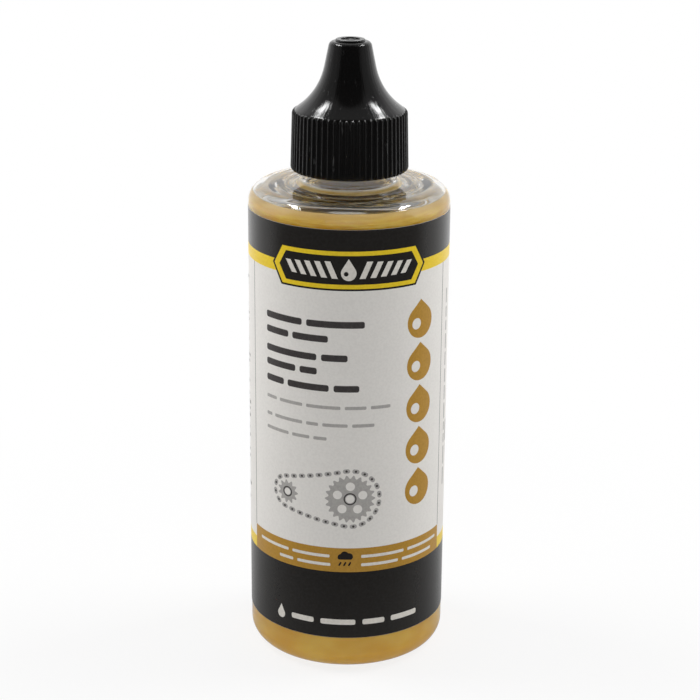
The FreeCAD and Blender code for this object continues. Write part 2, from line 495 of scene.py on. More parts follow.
@dataclass(frozen=True)
class CapPlastic(Finish):
    """Black moulded plastic: semi-gloss, with a fine skin, drag marks along its draft and light scuffs."""

    name: str = "finish_cap_plastic"
    colour: tuple = (0.0034, 0.0031, 0.0031, 1.0)
    scuffed: tuple = (0.045, 0.045, 0.045, 1.0)
    ior: float = 1.48
    roughness: float = 0.09
    skirt_roughness: float = 0.12
    skirt_fade: Span = (114.0, 115.0)
    flow_size: float = 3.0
    flow_roughness: float = 0.06
    flow_share: float = 0.2
    skin_size: float = 0.18
    skin_share: float = 0.25
    scuff_size: float = 0.9
    scuff_stretch: tuple = (1.0, 1.0, 0.22)
    scuff_range: Span = (0.64, 0.76)
    scuff_roughness: float = 0.16
    streaks: float = 16.0
    streak_rise: float = 9.0
    relief: float = 0.04

    def lay(self, graph: Graph) -> None:
        """Fills the material's node tree.

        Args:
            graph: The node tree.
        """
        flow = graph.grain(self.flow_size, detail=4.0)
        skin = graph.grain(self.skin_size, detail=3.0)
        scratches = graph.grain(self.scuff_size, detail=5.0, stretch=self.scuff_stretch)
        scuffs = scratches.between(*self.scuff_range)
        place = graph.place()
        along = (place * LEVEL).direction() + place * (0.0, 0.0, self.streak_rise)
        streaks = graph.noise(along, self.streaks, detail=3.0)
        skirt = 1 - place.part("Z").over(self.skirt_fade)
        wear = self.flow_roughness * flow + self.scuff_roughness * scuffs
        graph.surface(graph.node("ShaderNodeBsdfPrincipled", None, {
            "Base Color": scuffs.blend(self.colour, self.scuffed),
            "Roughness": self.roughness + self.skirt_roughness * skirt + wear,
            "IOR": self.ior,
            "Normal": graph.bump(self.skin_share * skin + self.flow_share * flow + streaks, self.relief),
        }))


def eased(share: float) -> float:
    """Holds a share between 0 and 1, and eases both of its ends."""
    held = min(max(share, 0.0), 1.0)
    return held * held * (3 - 2 * held)


def polar(middle: Point, radius: float, turn: float) -> Point:
    """The point at an angle round a centre."""
    return middle[0] + radius * math.cos(turn), middle[1] + radius * math.sin(turn)


@dataclass(frozen=True)
class Corner:
    """A corner of a turned profile, rounded by its fillet."""

    radius: float
    height: float
    fillet: float = 0.0

    def vector(self) -> Vector:
        """The corner's place as radius and height."""
        return Vector((self.radius, self.height))


def rounded(corners: Sequence[Corner], closed: bool, bend: float = 7.5) -> Loop:
    """Rounds the corners of a profile.

    Args:
        corners: The corners in order.
        closed: Whether the last corner joins the first.
        bend: The most that one step of a fillet turns, in degrees.

    Returns:
        Points of the rounded profile.
    """
    points: Loop = []
    last = len(corners) - 1
    for index, corner in enumerate(corners):
        here = corner.vector()
        if corner.fillet <= 0 or (not closed and index in (0, last)):
            points.append((here.x, here.y))
            continue
        back = (corners[index - 1].vector() - here).normalized()
        ahead = (corners[(index + 1) % len(corners)].vector() - here).normalized()
        half = back.angle(ahead) / 2
        middle = here + (back + ahead).normalized() * (corner.fillet / math.sin(half))
        start = here + back * (corner.fillet / math.tan(half)) - middle
        end = here + ahead * (corner.fillet / math.tan(half)) - middle
        sweep = start.angle_signed(end)
        steps = max(2, math.ceil(abs(math.degrees(sweep)) / bend))
        for step in range(steps + 1):
            turn = Matrix.Rotation(-sweep * step / steps, 2)
            spot = middle + turn @ start
            points.append((spot.x, spot.y))
    return points


def inset(corners: Sequence[Corner], wall: float) -> list[Corner]:
    """Moves an open profile to its left, and fits its fillets to the move.

    Args:
        corners: The corners in order.
        wall: How far it moves.

    Returns:
        The moved corners.
    """
    moved = []
    for index, corner in enumerate(corners):
        here = corner.vector()
        runs = []
        if index > 0:
            runs.append(here - corners[index - 1].vector())
        if index < len(corners) - 1:
            runs.append(corners[index + 1].vector() - here)
        normals = [Vector((-run.y, run.x)).normalized() for run in runs]
        push, fillet = normals[0], corner.fillet
        if len(normals) == 2:
            push = (normals[0] + normals[1]) / (1 + normals[0].dot(normals[1]))
            turns_left = runs[0].x * runs[1].y - runs[0].y * runs[1].x > 0
            fillet += -wall if turns_left else wall
        spot = here + push * wall
        moved.append(Corner(spot.x, spot.y, max(fillet, 0.0) if corner.fillet else 0.0))
    return moved


def divided(points: Loop, low: float, high: float, longest: float) -> Loop:
    """Divides the runs of a profile between two heights.

    Args:
        points: The profile.
        low: The lower height.
        high: The upper height.
        longest: The longest step there.

    Returns:
        The profile with more points.
    """
    fine = [points[0]]
    for (r0, z0), (r1, z1) in zip(points, points[1:]):
        inside = min(z0, z1) >= low - SLACK and max(z0, z1) <= high + SLACK
        steps = max(1, math.ceil(math.dist((r0, z0), (r1, z1)) / longest)) if inside else 1
        for step in range(1, steps + 1):
            share = step / steps
            fine.append((r0 + (r1 - r0) * share, z0 + (z1 - z0) * share))
    return fine


@dataclass
class Band:
    """A stretch of a turned profile, with the relief on it."""

    points: Loop
    relief: Relief | None = None
    finish: int = 0


def mesh_object(name: str, points: Sequence[Sequence[float]], faces: Sequence[Sequence[int]],
                sharp: float = 38.0) -> bpy.types.Object:
    """Makes a smooth-shaded piece.

    Args:
        name: The piece's name.
        points: Its points in millimetres.
        faces: Its faces as point numbers.
        sharp: Edges that turn by more than this stay sharp, in degrees.

    Returns:
        The piece, in metres.
    """
    mesh = bpy.data.meshes.new(name)
    mesh.from_pydata([[value * MM for value in point] for point in points], [], faces)
    mesh.shade_smooth()
    mesh.set_sharp_from_angle(angle=math.radians(sharp))
    piece = bpy.data.objects.new(name, mesh)
    bpy.context.scene.collection.objects.link(piece)
    return piece


def turned(name: str, bands: Sequence[Band], steps: int, closed: bool = False) -> bpy.types.Object:
    """Turns a profile about Z.

    Args:
        name: The piece's name.
        bands: The stretches of the profile, in order, with solid on the left.
        steps: How many steps make a turn.
        closed: Whether the last point joins the first, as a ring.

    Returns:
        The turned piece.
    """
    points: list[tuple[float, float, float]] = []
    faces: list[list[int]] = []
    rings: list[list[int]] = []
    finishes: list[int] = []
    ring_finish: list[int] = []
    for band in bands:
        ring_finish += [band.finish] * len(band.points)
        for radius, height in band.points:
            start = len(points)
            if radius < ON_AXIS:
                points.append((0.0, 0.0, height))
                rings.append([start] * steps)
                continue
            for step in range(steps):
                angle = FULL_TURN * step / steps
                reach, level = band.relief(radius, height, angle) if band.relief else (radius, height)
                points.append((reach * math.sin(angle), -reach * math.cos(angle), level))
            rings.append(list(range(start, start + steps)))
    pairs = list(zip(rings, rings[1:], ring_finish[1:]))
    if closed:
        pairs.append((rings[-1], rings[0], ring_finish[0]))
    for lower, upper, finish in pairs:
        for step in range(steps):
            after = (step + 1) % steps
            corners = [lower[step], lower[after], upper[after], upper[step]]
            face = list(dict.fromkeys(corners))
            if len(face) > 2:
                faces.append(face)
                finishes.append(finish)
    piece = mesh_object(name, points, faces)
    piece.data.polygons.foreach_set("material_index", finishes)
    return piece


def settle(piece: bpy.types.Object, finish: Finish, body: Body, node: str | None = None) -> None:
    """Dresses a piece and ties it to the frame.

    Args:
        piece: The piece.
        finish: Its finish.
        body: The body that it rides on.
        node: The CAD node that it stands for, if it does.
    """
    piece.data.materials.append(finish.material())
    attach(piece, body.value)
    if node:
        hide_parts(node)
    LOG.info("%s: %d faces, rides on %s", piece.name, len(piece.data.polygons), body.value)


@dataclass(frozen=True)
class Thread:
    """A screw thread, raised on a wall or standing in from it."""

    start: float
    turns: float
    pitch: float = 3.175
    height: float = 0.95
    foot: float = 0.85
    crest: float = 0.4
    fade: float = 0.09

    def rise(self, height: float, angle: float) -> float:
        """How far the thread stands off the wall.

        Args:
            height: The height of the point.
            angle: The angle round the axis.

        Returns:
            The rise at that point.
        """
        best = 0.0
        for lap in range(math.ceil(self.turns) + 1):
            along = angle / FULL_TURN + lap
            if not 0 <= along <= self.turns:
                continue
            off = abs(height - self.start - self.pitch * along)
            flank = eased((self.foot - off) / (self.foot - self.crest))
            ends = min(1.0, along / self.fade, (self.turns - along) / self.fade)
            best = max(best, self.height * flank * math.sqrt(max(ends, 0.0)))
        return best


@dataclass(frozen=True)
class Ripple:
    """A ring of thicker plastic round the neck, which wanders and comes and goes on its way round."""

    radius: float
    width: float
    depth: float
    wander: float
    lobes: int
    phase: float
    swell: float = 0.45
    swell_phase: float = 2.3

    def depth_at(self, radius: float, angle: float) -> float:
        """How much thicker the ring makes the wall.

        Args:
            radius: The radius of the point.
            angle: The angle round the axis.

        Returns:
            The extra thickness.
        """
        off = radius - self.radius - self.wander * math.sin(self.lobes * angle + self.phase)
        strength = 1 + self.swell * math.sin((self.lobes + 1) * angle + self.swell_phase * self.phase)
        return self.depth * strength * math.exp(-(off / self.width) ** 2)


@dataclass
class BottleShell:
    """Clear blown bottle: a pushed-up base, a straight wall, a rounded shoulder and a threaded neck."""

    radius: float = 20.7
    shoulder_height: float = 100.6
    shoulder_fillet: float = 3.3
    shoulder_inside: float = 3.0
    heel_fillet: float = 4.0
    wall: float = 0.85
    base_ring: float = 3.4
    base_ring_fillet: float = 1.2
    push_up: float = 2.6
    push_up_slope: float = 5.0
    push_up_fillet: float = 6.0
    neck_root: float = 101.0
    neck_top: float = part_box("bottle")[1].z / MM
    neck_radius: float = 8.8
    bore: float = 7.1
    throat_low: float = 104.0
    throat_high: float = 106.0
    throat_fillet: float = 0.8
    collar_radius: float = 9.7
    collar_top: float = 104.6
    collar_foot_fillet: float = 1.2
    collar_fillet: float = 0.4
    lip_fillet: float = 0.35
    steps: int = 288
    thread: Thread = Thread(start=106.0, turns=1.6)
    thread_gap: float = 0.1
    thread_step: float = 0.14
    ripple_foot: float = 98.2
    ripple_fade: float = 1.0
    ripple_top: float = 101.5
    ripple_step: float = 0.3
    ripple_step_top: float = 102.5
    ripples: tuple[Ripple, ...] = (
        Ripple(12.2, 0.7, 0.42, 0.3, 2, 0.4),
        Ripple(13.7, 0.7, 0.36, 0.5, 3, 1.7),
        Ripple(15.4, 0.9, 0.26, 0.8, 2, 3.1),
        Ripple(17.2, 1.1, 0.18, 0.7, 3, 5.0),
    )

    def outside(self, shoulder: float) -> list[Corner]:
        """Outside of the body, from the middle of its base to the foot of the collar.

        Args:
            shoulder: The fillet of the shoulder.

        Returns:
            Its corners.
        """
        ring_inside = self.radius - self.heel_fillet - self.base_ring
        return [
            Corner(0.0, self.push_up),
            Corner(ring_inside - self.push_up_slope, self.push_up, self.push_up_fillet),
            Corner(ring_inside, 0.0, self.base_ring_fillet),
            Corner(self.radius, 0.0, self.heel_fillet),
            Corner(self.radius, self.shoulder_height, shoulder),
            Corner(self.collar_radius, self.neck_root, self.collar_foot_fillet),
        ]

    def cavity(self, wall: float) -> list[Corner]:
        """Inside of the body, from the middle of its base to the foot of the bore.

        Args:
            wall: The thickness of the wall.

        Returns:
            Its corners.
        """
        body = self.outside(self.shoulder_inside + self.wall)
        walls = inset([*body, Corner(self.collar_radius, self.collar_top)], wall)
        low = Corner(walls[-1].radius, self.throat_low, self.throat_fillet)
        return [*walls[:-1], low, Corner(self.bore, self.throat_high, self.throat_fillet)]

    def build(self) -> None:
        """Builds the bottle and dresses it."""
        corners = self.outside(self.shoulder_fillet) + [
            Corner(self.collar_radius, self.collar_top, self.collar_fillet),
            Corner(self.neck_radius, self.collar_top),
            Corner(self.neck_radius, self.neck_top, self.lip_fillet),
            Corner(self.bore, self.neck_top, self.lip_fillet),
        ] + self.cavity(self.wall)[::-1]
        points = rounded(corners, closed=False)
        lip = max(range(len(points)), key=lambda index: points[index][1])
        outer = divided(points[:lip], self.collar_top, self.neck_top, self.thread_step)
        inner = divided(points[lip:], self.ripple_foot, self.ripple_step_top, self.ripple_step)
        bands = [Band(outer, self.with_thread), Band(inner, self.with_ripples)]
        piece = turned("bottle_shell", bands, self.steps)
        settle(piece, ClearPlastic(), Body.BOTTLE, "bottle")

    def with_thread(self, radius: float, height: float, angle: float) -> Point:
        """Adds the thread to the neck.

        Args:
            radius: The plain radius.
            height: The height of the point.
            angle: The angle round the axis.

        Returns:
            The radius with the thread, and the height.
        """
        if height <= self.collar_top + self.thread_gap or radius > self.neck_radius + NEAR:
            return radius, height
        return radius + self.thread.rise(height, angle), height

    def with_ripples(self, radius: float, height: float, angle: float) -> Point:
        """Lets the inside of the shoulder run uneven, as blown plastic does near its neck.

        Args:
            radius: The plain radius.
            height: The plain height.
            angle: The angle round the axis.

        Returns:
            The radius, and the height with the ripples.
        """
        if not self.ripple_foot <= height <= self.ripple_top:
            return radius, height
        share = min((height - self.ripple_foot) / self.ripple_fade, 1.0)
        return radius, height - share * sum(ripple.depth_at(radius, angle) for ripple in self.ripples)


@dataclass
class OilFill:
    """Golden oil that wets the wall of the bottle and climbs it a little at its edge."""

    bottle: BottleShell
    level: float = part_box("oil_fill")[1].z / MM
    sunk: float = 0.03
    climb: float = 0.75
    climb_width: float = 1.3
    climb_above: float = 0.12
    ring_radius: float = 10.95
    ring_top: float = 101.35
    ring_depth: float = 0.25
    steps: int = 288
    against_wall: OilAtWall = OilAtWall()
    open_face: OilSurface = OilSurface()
    # Oil round the neck: a lighter, fully clouded copy of the oil at the wall. This is painted light that
    # lifts it out of the cap's shade, and it turns near-white at its top edge as a painted highlight line.
    clinging_painted_light: OilAtWall = OilAtWall(
        "finish_oil_in_neck_painted_light", 0.0, light=(1.0, 0.78, 0.34, 1.0), deep=(0.98, 0.68, 0.2, 1.0),
        pale=(1.0, 0.95, 0.86, 1.0), pale_span=(100.5, 101.3))
    surface_rings: int = 24

    def build(self) -> None:
        """Builds the oil and dresses it."""
        self.ring()
        brim = self.level + self.climb_above
        wall = rounded(self.bottle.cavity(self.bottle.wall - self.sunk), closed=False, bend=5.0)
        below = [point for point in wall if point[1] < brim]
        inside, outside = below[-1], wall[len(below)]
        share = (brim - inside[1]) / (outside[1] - inside[1])
        edge = inside[0] + (outside[0] - inside[0]) * share
        rings = [edge * (1 - (ring / self.surface_rings) ** 2) for ring in range(1, self.surface_rings)]
        surface = [(radius, brim - self.dip(edge - radius)) for radius in rings]
        bands = [Band([*below, (edge, brim)]), Band([*surface, (0.0, brim - self.climb)], finish=1)]
        piece = turned("golden_oil", bands, self.steps)
        settle(piece, self.against_wall, Body.BOTTLE, "oil_fill")
        piece.data.materials.append(self.open_face.material())

    def ring(self) -> None:
        """Builds the oil that clings round the foot of the neck."""
        walls = (self.bottle.wall - self.sunk, self.bottle.wall + self.ring_depth)
        wet, free = ([point for point in rounded(self.bottle.cavity(wall), closed=False, bend=4.0)
                      if point[0] < self.ring_radius and self.bottle.ripple_foot < point[1] < self.ring_top]
                     for wall in walls)
        piece = turned("oil_in_neck", [Band(wet + free[-2:0:-1])], self.steps, closed=True)
        settle(piece, self.clinging_painted_light, Body.BOTTLE)

    def dip(self, away: float) -> float:
        """How far the surface lies below its edge at a distance from it."""
        return self.climb * (1 - math.exp(-away / self.climb_width))


@dataclass
class Patch:
    """A flat printed shape: an outline in arc and height, and any holes in it."""

    outline: Loop
    holes: list[Loop] = field(default_factory=list)

    def loops(self) -> list[Loop]:
        """The outline and the holes."""
        return [self.outline, *self.holes]


# Proportions of the printed shapes
ROUND_END = 0.49
WORD_FILLET = 0.32
DROP_LIGHT = (0.32, 0.1)
TOOTH_STEPS = 10
TOOTH_SHARPNESS = 1.3
CLOUD_PUFFS = ((-0.5, -0.02, 0.42), (-0.08, 0.24, 0.5), (0.45, 0.06, 0.46), (0.0, -0.1, 0.34))
CLOUD_FOOT = -0.32


def ring_of(middle: Point, radius: float, count: int = 28) -> Loop:
    """The points of a circle, counter-clockwise."""
    return [polar(middle, radius, FULL_TURN * step / count) for step in range(count)]


def bar(left: float, low: float, right: float, high: float, fillet: float = 0.0) -> Patch:
    """An upright bar with rounded corners.

    Args:
        left: Its left side.
        low: Its foot.
        right: Its right side.
        high: Its top.
        fillet: The radius of its corners.

    Returns:
        The shape.
    """
    corners = [Corner(left, low, fillet), Corner(right, low, fillet),
               Corner(right, high, fillet), Corner(left, high, fillet)]
    return Patch(rounded(corners, closed=True, bend=22.5))


def link_bar(middle: Point, length: float, width: float, angle: float) -> Patch:
    """A bar with round ends at an angle.

    Args:
        middle: Its centre.
        length: Its length.
        width: Its width.
        angle: Its angle from level.

    Returns:
        The shape.
    """
    flat = bar(-length / 2, -width / 2, length / 2, width / 2, width * ROUND_END)
    across, up = middle
    cosine, sine = math.cos(angle), math.sin(angle)
    return Patch([(across + u * cosine - v * sine, up + u * sine + v * cosine) for u, v in flat.outline])


def drop(middle: Point, radius: float, height: float, hole: float = 0.0) -> Patch:
    """A falling drop with a round belly, and perhaps a round light in it.

    Args:
        middle: The centre of its belly.
        radius: The belly's radius.
        height: From the foot of the belly to the tip.
        hole: The light's radius as a share of the belly's.

    Returns:
        The shape.
    """
    tip = height - radius
    lean = math.asin(radius / tip)
    steps, sweep = 30, math.pi + 2 * lean
    outline = [polar(middle, radius, math.pi - lean + sweep * step / steps) for step in range(steps + 1)]
    outline.append((middle[0], middle[1] + tip))
    light = (middle[0] - radius * DROP_LIGHT[0], middle[1] - radius * DROP_LIGHT[1])
    return Patch(outline, [ring_of(light, radius * hole, 20)] if hole else [])


def toothed(middle: Point, root: float, tip: float, teeth: int, holes: Sequence[Loop]) -> Patch:
    """A toothed wheel.

    Args:
        middle: Its centre.
        root: The radius between its teeth.
        tip: The radius of its teeth.
        teeth: How many it has.
        holes: The holes in it.

    Returns:
        The shape.
    """
    outline = []
    steps = teeth * TOOTH_STEPS
    for step in range(steps):
        turn = FULL_TURN * step / steps
        wave = 0.5 + 0.5 * math.cos(turn * teeth)
        outline.append(polar(middle, root + (tip - root) * wave ** TOOTH_SHARPNESS, turn))
    return Patch(outline, list(holes))


def cloud(middle: Point, size: float) -> Patch:
    """A cloud with a flat foot.

    Args:
        middle: A point inside it, above its foot.
        size: Half of its width.

    Returns:
        The shape.
    """
    outline = []
    for along, up in ring_of((0.0, 0.0), 1.0, 72):
        reaches = []
        for u, v, radius in CLOUD_PUFFS:
            inner = along * u + up * v
            under = inner * inner - u * u - v * v + radius * radius
            if under > 0:
                reaches.append(inner + math.sqrt(under))
        reach = max(reaches)
        if up < 0:
            reach = min(reach, CLOUD_FOOT / up)
        outline.append((middle[0] + size * reach * along, middle[1] + size * reach * up))
    return Patch(outline)


class Ink(Enum):
    """The film of the label and the inks on it."""

    FILM = PrintedFilm("finish_label_film", linear(232, 229, 224), linear(226, 223, 218), 0.34)
    BLACK = PrintedFilm("finish_black_ink", linear(35, 33, 31), linear(40, 38, 36), 0.2)
    YELLOW = PrintedFilm("finish_yellow_ink", linear(239, 207, 29), linear(231, 197, 23), 0.3)
    GOLD = PrintedFilm("finish_gold_ink", linear(183, 138, 46), linear(172, 128, 40), 0.32)
    CHARCOAL = PrintedFilm("finish_charcoal_ink", linear(62, 58, 58), linear(72, 68, 67), 0.3)
    GREY = PrintedFilm("finish_grey_ink", linear(176, 173, 169), linear(164, 161, 158), 0.32)
    PALE = PrintedFilm("finish_pale_ink", linear(226, 222, 214), linear(214, 210, 202), 0.32)


@dataclass
class WrapLabel:
    """Printed film round the body: its end laps over its start at the back."""

    low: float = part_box("wrap_label")[0].z / MM
    high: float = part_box("wrap_label")[1].z / MM
    unrolled_radius: float = 20.82
    inside: float = 20.68
    face: float = 20.78
    ink_lift: float = 0.006
    overlap: float = 5.0
    ramp: float = 1.8
    lap_gap: float = 0.005
    columns: int = 288
    column_margin: float = 1e-4
    cut_margin: float = 1e-5
    sharp: float = 30.0
    edge_margin: float = 0.02
    start_margin: float = 0.05
    end_margin: float = 0.01
    half_panel: float = 24.4
    half_rule: float = 0.1
    stripe: Span = (86.4, 88.9)
    foot_stripe: Span = (23.0, 25.5)
    gold_top: float = 28.4
    badge_height: float = 88.15
    # Ink, layer, half width, half height and depth of the pointed ends
    badge_layers: tuple = ((Ink.BLACK, 2, 17.0, 4.25, 2.4), (Ink.YELLOW, 3, 16.5, 3.85, 2.2),
                           (Ink.BLACK, 4, 15.1, 2.95, 1.7))
    slants: int = 5
    slant_first: float = 2.9
    slant_pitch: float = 2.15
    slant_lean: float = 0.75
    slant_width: float = 1.2
    slant_rise: float = 1.75
    slant_shrink: float = 0.12
    text_left: float = -19.1
    # Height of each line and the lengths of its bars
    heading: tuple = ((76.8, (9.4, 12.0)), (73.7, (6.2, 7.8)), (69.75, (12.6, 5.4)), (66.75, (7.9, 3.8)),
                      (63.3, (5.0, 9.2, 5.2)))
    notes: tuple = ((59.2, (3.0, 5.6, 7.2, 4.4, 4.2)), (55.4, (1.6, 7.0, 2.6, 5.2, 4.6)),
                    (52.4, (6.2, 4.0, 2.8)))
    # Height, left end and the lengths of the bars
    weather_lines: tuple = ((26.5, -21.8, (8.8, 8.4)), (26.5, 3.0, (9.6, 9.4)),
                            (24.6, -15.4, (3.6, 7.4)), (24.6, 3.0, (8.2, 8.8)))
    gold_drops: int = 5
    gold_first: Point = (16.2, 75.9)
    gold_pitch: float = 9.1
    large_wheel: Point = (0.6, 39.4)
    small_wheel: Point = (-13.2, 39.4)
    wheel_lights: int = 5
    light_reach: float = 2.75
    light_turn: float = 0.3
    hub_ring: float = 0.3
    side_texts: tuple[Span, ...] = ((-60.0, -28.4), (33.0, 60.0))
    side_heights: Span = (31.0, 83.0)
    line_pitch: float = 1.5
    break_pitch: float = 3.4
    break_chance: float = 0.16
    short_chance: float = 0.2
    short_share: Span = (0.3, 0.8)
    side_words: Span = (1.2, 4.8)
    side_gap: float = 0.6
    upright_heights: Span = (38.0, 80.0)
    upright_sides: Span = (27.1, 28.0)
    upright_words: Span = (1.4, 4.2)
    upright_gap: float = 0.7
    seed: int = 11
    prints: dict[Ink, list[tuple[Patch, int]]] = field(default_factory=dict)

    def __post_init__(self) -> None:
        """Works out the places that follow from the sizes."""
        self.column = FULL_TURN * self.unrolled_radius / self.columns
        half_turn = math.pi * self.unrolled_radius
        self.lap_start = half_turn - self.overlap / 2
        self.lap_end = half_turn + self.overlap / 2

    def lap_lift(self, arc: float) -> float:
        """How far the film stands out at an arc, to climb over its own start."""
        share = (arc - self.lap_start + self.ramp) / self.ramp
        return (self.face - self.inside + self.lap_gap) * eased(share)

    def wrapped(self, arc: float, height: float, radius: float) -> Vector:
        """Wraps a flat point onto the bottle, on the flat of its column.

        Args:
            arc: The place along the film from the middle of the front.
            height: The height.
            radius: The radius at the plain part of the film.

        Returns:
            The point.
        """
        column = math.floor(arc / self.column)
        ends = []
        for index in (column, column + 1):
            angle = FULL_TURN * index / self.columns
            reach = radius + self.lap_lift(index * self.column)
            ends.append(Vector((reach * math.sin(angle), -reach * math.cos(angle), height)))
        return ends[0].lerp(ends[1], arc / self.column - column)

    def column_edges(self, start: float, end: float) -> list[float]:
        """The edges between the columns along a stretch of the film.

        Args:
            start: Where the stretch starts.
            end: Where it ends.

        Returns:
            The arcs of the edges inside it.
        """
        first = math.ceil(start / self.column + self.column_margin)
        last = math.floor(end / self.column - self.column_margin)
        return [index * self.column for index in range(first, last + 1)]

    def sheet(self, patch: Patch) -> bmesh.types.BMesh:
        """Fills a flat shape and cuts it along the columns.

        Args:
            patch: The shape.

        Returns:
            The flat mesh, facing up.
        """
        flat = bmesh.new()
        edges = []
        for loop in patch.loops():
            verts = [flat.verts.new((u, v, 0.0)) for u, v in loop]
            edges += [flat.edges.new(pair) for pair in zip(verts, verts[1:] + verts[:1])]
        bmesh.ops.triangle_fill(flat, use_beauty=True, use_dissolve=False, edges=edges)
        arcs = [u for u, _ in patch.outline]
        for arc in self.column_edges(min(arcs), max(arcs)):
            geometry = [*flat.verts, *flat.edges, *flat.faces]
            bmesh.ops.bisect_plane(flat, geom=geometry, dist=self.cut_margin, plane_co=(arc, 0, 0),
                                   plane_no=(1, 0, 0))
        flat.normal_update()
        for face in flat.faces:
            if face.normal.z < 0:
                face.normal_flip()
        return flat

    def solid(self, patch: Patch, inner: float, outer: float, points: list, faces: list) -> None:
        """Adds a flat shape to a mesh as a thin wrapped solid.

        Args:
            patch: The shape.
            inner: The radius of its underside.
            outer: The radius of its face.
            points: The mesh's points, which grow.
            faces: The mesh's faces, which grow.
        """
        flat = self.sheet(patch)
        flat.verts.index_update()
        top = len(points)
        under = top + len(flat.verts)
        for radius in (outer, inner):
            points.extend(self.wrapped(vert.co.x, vert.co.y, radius) for vert in flat.verts)
        for piece in flat.faces:
            corners = [vert.index for vert in piece.verts]
            faces.append([top + corner for corner in corners])
            faces.append([under + corner for corner in reversed(corners)])
            for loop in piece.loops:
                if len(loop.edge.link_faces) == 1:
                    start, end = loop.vert.index, loop.link_loop_next.vert.index
                    faces.append([top + end, top + start, under + start, under + end])
        flat.free()

    def put(self, ink: Ink, level: int, *patches: Patch) -> None:
        """Prints shapes at a level, which counts the layers of ink from the film up."""
        self.prints.setdefault(ink, []).extend((patch, level) for patch in patches)

    def words(self, ink: Ink, level: int, left: float, middle: float, thick: float, lengths: Sequence[float],
              gap: float = 1.0) -> None:
        """Prints a line of plain bars in place of words.

        Args:
            ink: The ink.
            level: The layer.
            left: Where the line starts.
            middle: The height of its middle.
            thick: How thick the bars are.
            lengths: How long each bar is.
            gap: The room between two bars.
        """
        low, high, fillet = middle - thick / 2, middle + thick / 2, thick * WORD_FILLET
        for length in lengths:
            self.put(ink, level, bar(left, low, left + length, high, fillet))
            left += length + gap

    def bands(self) -> None:
        """Prints the dark bands, the yellow stripes and the lines beside the front panel."""
        start, end = self.start_margin - self.lap_start, self.lap_end - self.end_margin
        low, high = self.stripe
        foot, foot_top = self.foot_stripe
        half = self.half_panel
        self.put(Ink.BLACK, 1, bar(start, high, end, self.high - self.edge_margin))
        self.put(Ink.BLACK, 1, bar(start, self.low + self.edge_margin, end, foot))
        self.put(Ink.YELLOW, 1, bar(start, low, end, high))
        self.put(Ink.YELLOW, 1, bar(start, foot, -half, foot_top), bar(half, foot, end, foot_top))
        self.put(Ink.GOLD, 1, bar(-half, foot, half, self.gold_top))
        for side in (-half, half):
            self.put(Ink.CHARCOAL, 1, bar(side - self.half_rule, self.gold_top, side + self.half_rule, low))

    def badge(self) -> None:
        """Prints the badge across the stripe: a long hexagon with slanted bars either side of a drop."""
        middle = self.badge_height
        for ink, level, half, rise, point in self.badge_layers:
            flat = half - point
            self.put(ink, level, Patch([(-half, middle), (-flat, middle - rise), (flat, middle - rise),
                                        (half, middle), (flat, middle + rise), (-flat, middle + rise)]))
        self.put(Ink.PALE, 5, drop((0.0, 87.55), radius=1.55, height=4.5, hole=0.3))
        for index in range(self.slants):
            tall = self.slant_rise - self.slant_shrink * index
            for side in (-1, 1):
                foot = side * (self.slant_first + self.slant_pitch * index)
                lean, wide = side * self.slant_lean, side * self.slant_width
                corners = [(foot - lean, middle - tall), (foot - lean + wide, middle - tall),
                           (foot + lean + wide, middle + tall), (foot + lean, middle + tall)]
                self.put(Ink.PALE, 5, Patch(corners[::side]))

    def front_text(self) -> None:
        """Prints the lines of bars on the front panel."""
        for middle, lengths in self.heading:
            self.words(Ink.CHARCOAL, 1, self.text_left, middle, thick=1.4, lengths=lengths)
        for middle, lengths in self.notes:
            self.words(Ink.GREY, 1, self.text_left, middle, thick=0.7, lengths=lengths, gap=0.9)

    def gold_column(self) -> None:
        """Prints the upright column of gold drops."""
        across, top = self.gold_first
        for index in range(self.gold_drops):
            spot = (across, top - self.gold_pitch * index)
            self.put(Ink.GOLD, 1, drop(spot, radius=3.5, height=8.2, hole=0.34))

    def drive(self) -> None:
        """Prints the grey drive: two toothed wheels in a loop of links."""
        large, small = self.large_wheel, self.small_wheel
        turns = [FULL_TURN * step / self.wheel_lights + self.light_turn for step in range(self.wheel_lights)]
        lights = [ring_of(polar(large, self.light_reach, turn), radius=0.95, count=20) for turn in turns]
        holes = [ring_of(large, radius=0.9, count=20), *lights]
        self.put(Ink.GREY, 1, toothed(large, root=4.5, tip=5.25, teeth=22, holes=holes))
        holes = [ring_of(small, radius=0.75, count=20)]
        self.put(Ink.GREY, 1, toothed(small, root=1.9, tip=2.6, teeth=11, holes=holes))
        for spot, angle in self.belt(large, 6.15, small, 3.4, pitch=1.92):
            self.put(Ink.GREY, 1, link_bar(spot, length=1.5, width=0.95, angle=angle))
            self.put(Ink.CHARCOAL, 2, Patch(ring_of(spot, radius=0.26, count=12)))
        for middle, radius in ((large, 1.35), (small, 1.15)):
            hole = ring_of(middle, radius - self.hub_ring, count=24)
            self.put(Ink.CHARCOAL, 2, Patch(ring_of(middle, radius, count=24), [hole]))

